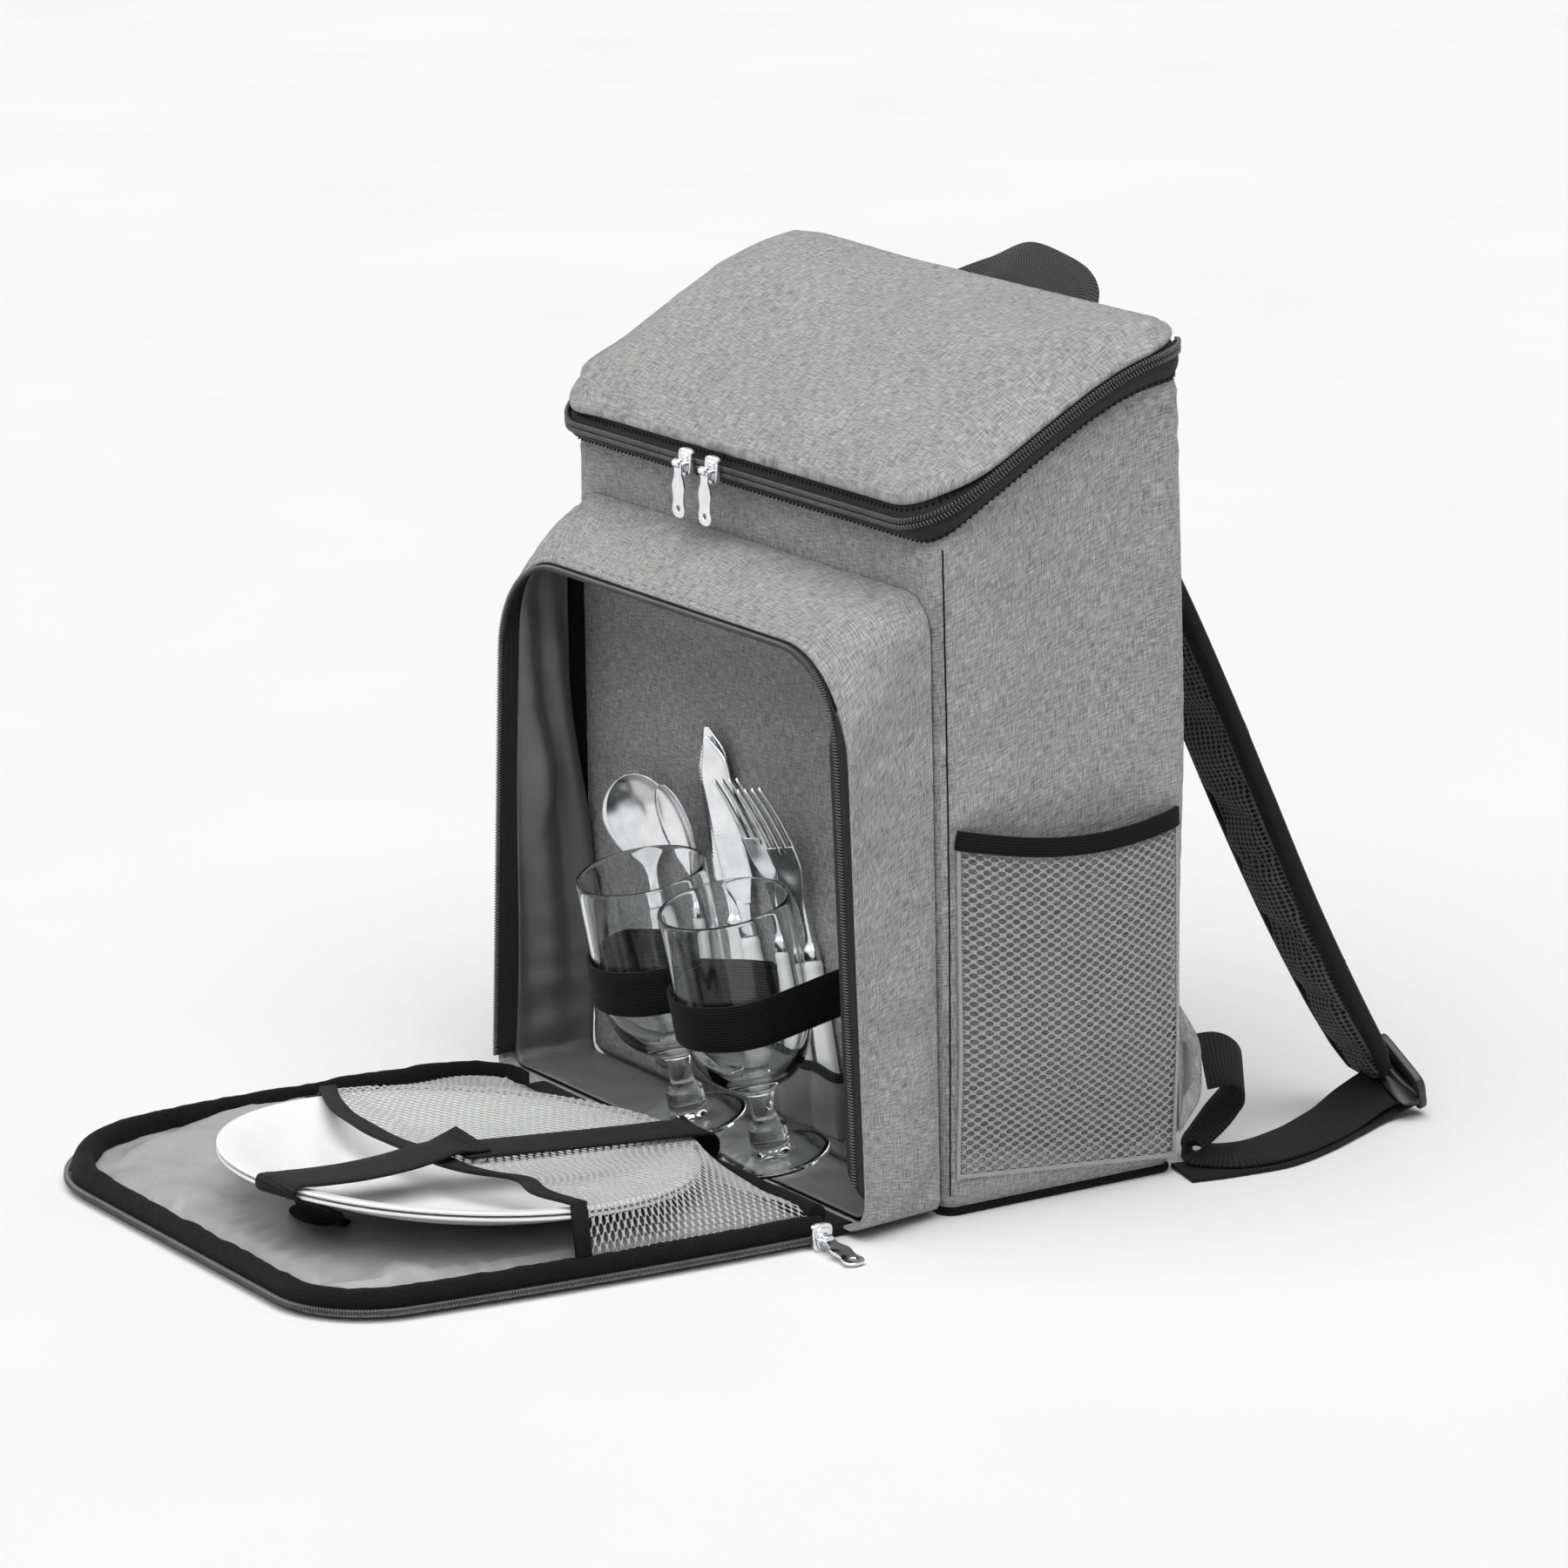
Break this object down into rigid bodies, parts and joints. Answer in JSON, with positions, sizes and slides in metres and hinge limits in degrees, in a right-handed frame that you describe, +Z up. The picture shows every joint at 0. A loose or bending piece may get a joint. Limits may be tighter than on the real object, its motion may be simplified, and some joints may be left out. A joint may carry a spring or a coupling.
{
  "type": "picnic backpack",
  "caption": "Tall soft cool backpack with a sloping zipped lid, net side pockets, shoulder straps and an open front pocket holding a fitted picnic set of plates, glasses and cutlery.",
  "frame": {"origin": "middle of the base, on the floor", "axes": "+Z up, -Y to the front where the pocket opens, +X to the bag's right as seen from the front"},
  "size_m": [0.3569, 0.5594, 0.3848],
  "materials": {
    "melange": "woven heather polyester",
    "satin": "satin lining",
    "black_fabric": "ribbed webbing and binding",
    "net": "open knitted net",
    "coil": "moulded coil",
    "black_plastic": "moulded",
    "chrome": "polished",
    "steel": "polished",
    "white_plastic": "glossy",
    "clear_plastic": "clear"
  },
  "bodies": {
    "bag": {"base": "black_fabric", "main_shell": "melange", "lid": "melange", "lid_zip_tape": "black_fabric", "lid_hinge": "melange", "lid_zip_chain": "coil", "lid_slider_left": "chrome", "lid_slider_right": "chrome", "pocket_gusset": "melange", "pocket_lining": "satin", "pocket_zip_tape": "black_fabric", "pocket_zip_chain": "coil", "flap_panel": "melange", "flap_lining": "satin", "flap_binding": "black_fabric", "flap_zip_chain": "coil", "flap_hinge": "black_fabric", "flap_slider": "chrome", "plate_lower": "white_plastic", "plate_upper": "white_plastic", "flap_mesh": "net", "flap_mesh_binding": "black_fabric", "plate_strap_far": "black_fabric", "plate_strap_near": "black_fabric", "strap_patch": "black_fabric", "glass_left": "clear_plastic", "glass_right": "clear_plastic", "glass_band_left": "black_fabric", "glass_band_right": "black_fabric", "spoon_left_head": "steel", "spoon_left_handle": "white_plastic", "spoon_right_head": "steel", "spoon_right_handle": "white_plastic", "knife_left_head": "steel", "knife_left_handle": "white_plastic", "knife_right_head": "steel", "knife_right_handle": "white_plastic", "fork_left_head": "steel", "fork_left_handle": "white_plastic", "fork_right_head": "steel", "fork_right_handle": "white_plastic", "cutlery_pocket": "satin", "side_mesh_left": "net", "side_binding_left": "black_fabric", "side_mesh_right": "net", "side_binding_right": "black_fabric", "shoulder_pad_left": "black_fabric", "buckle_left": "black_plastic", "strap_webbing_left": "black_fabric", "strap_tail_left": "black_fabric", "strap_tab_left": "melange", "shoulder_pad_right": "black_fabric", "buckle_right": "black_plastic", "strap_webbing_right": "black_fabric", "strap_tail_right": "black_fabric", "strap_tab_right": "melange", "carry_handle": "black_fabric"},
    "left_lid_pull": {"lid_pull_left": "chrome"},
    "right_lid_pull": {"lid_pull_right": "chrome"},
    "pocket_flap_pull": {"flap_pull": "chrome"}
  },
  "joints": [
    {"name": "lid_pull_left_swing", "type": "hinge", "parent": "bag", "child": "left_lid_pull", "pos_m": [-0.029, -0.07965, 0.30257], "axis": [-1, 0, 0], "range_deg": [0, 110]},
    {"name": "lid_pull_right_swing", "type": "hinge", "parent": "bag", "child": "right_lid_pull", "pos_m": [-0.007, -0.07965, 0.30257], "axis": [-1, 0, 0], "range_deg": [0, 110]},
    {"name": "flap_pull_swing", "type": "hinge", "parent": "bag", "child": "pocket_flap_pull", "pos_m": [0.1576, -0.127, 0.0056], "axis": [0, -1, 0], "range_deg": [0, 100]}
  ]
}
